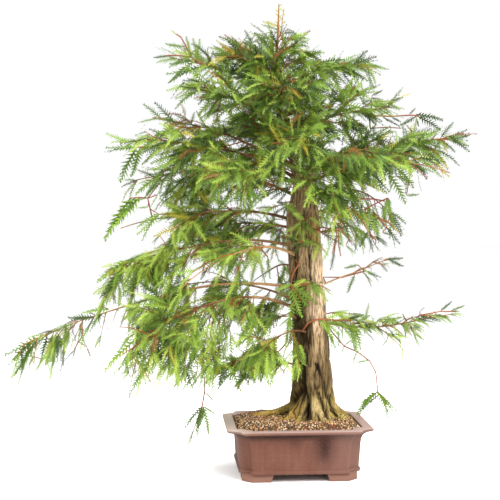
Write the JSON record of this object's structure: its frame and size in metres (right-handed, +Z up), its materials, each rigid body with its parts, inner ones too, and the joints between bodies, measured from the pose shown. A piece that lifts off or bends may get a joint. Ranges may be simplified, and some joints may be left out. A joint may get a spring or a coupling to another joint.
{
  "type": "bald cypress bonsai in a pot",
  "caption": "Bald cypress bonsai: tapering trunk with surface roots, thin leader, side boughs and feathery drooping foliage, in a footed rectangular clay pot.",
  "frame": {"origin": "on the floor, at the level of the pot's feet, at the middle of the plant's bounding box in X and Y", "axes": "+Z up along the trunk, X along the pot's long side, -Y towards the viewer of the picture; the long low bough reaches towards -X"},
  "size_m": [1.5096, 0.8298, 1.505],
  "materials": {
    "clay": "matte",
    "soil": "matte",
    "bark": "matte",
    "needles": "matte"
  },
  "bodies": {
    "root": {"pot": "clay", "soil": "soil", "trunk": "bark", "bough_lowest_left": "bark", "mass_lowest_left": "needles", "mass_front_low_left": "needles", "bough_low_right": "bark", "mass_low_right": "needles", "bough_low_left": "bark", "mass_low_left": "needles", "bough_inner_left": "bark", "mass_inner_left": "needles", "bough_mid_right": "bark", "mass_mid_right": "needles", "mass_front_tuft": "needles", "bough_far_left": "bark", "mass_far_left": "needles", "bough_back_low": "bark", "mass_back_low": "needles", "bough_front_left_mid": "bark", "mass_front_left_mid": "needles", "bough_mid_left": "bark", "mass_mid_left": "needles", "bough_back_mid_left": "bark", "mass_back_mid_left": "needles", "bough_back_mid_right": "bark", "mass_back_mid_right": "needles", "bough_upper_mid_left": "bark", "mass_upper_mid_left": "needles", "bough_drooping_right": "bark", "mass_drooping_right": "needles", "mass_front_right_mid": "needles", "bough_back_left": "bark", "mass_back_left": "needles", "bough_front_left_high": "bark", "mass_front_left_high": "needles", "bough_right_leader": "bark", "mass_right_leader": "needles", "bough_right": "bark", "mass_right": "needles", "bough_upper_left": "bark", "mass_upper_left": "needles", "mass_front_right_high": "needles", "mass_back_right": "needles", "bough_far_right": "bark", "mass_far_right": "needles", "mass_front_high": "needles", "bough_rising_left": "bark", "mass_rising_left": "needles", "mass_back_high_left": "needles", "mass_high_right": "needles", "mass_high_left": "needles", "mass_front_top": "needles", "mass_back_top": "needles", "mass_top_left": "needles", "mass_top_back_left": "needles", "mass_top_right": "needles", "mass_crown_left": "needles", "mass_crown_right": "needles", "mass_crown_tip": "needles"}
  },
  "joints": []
}
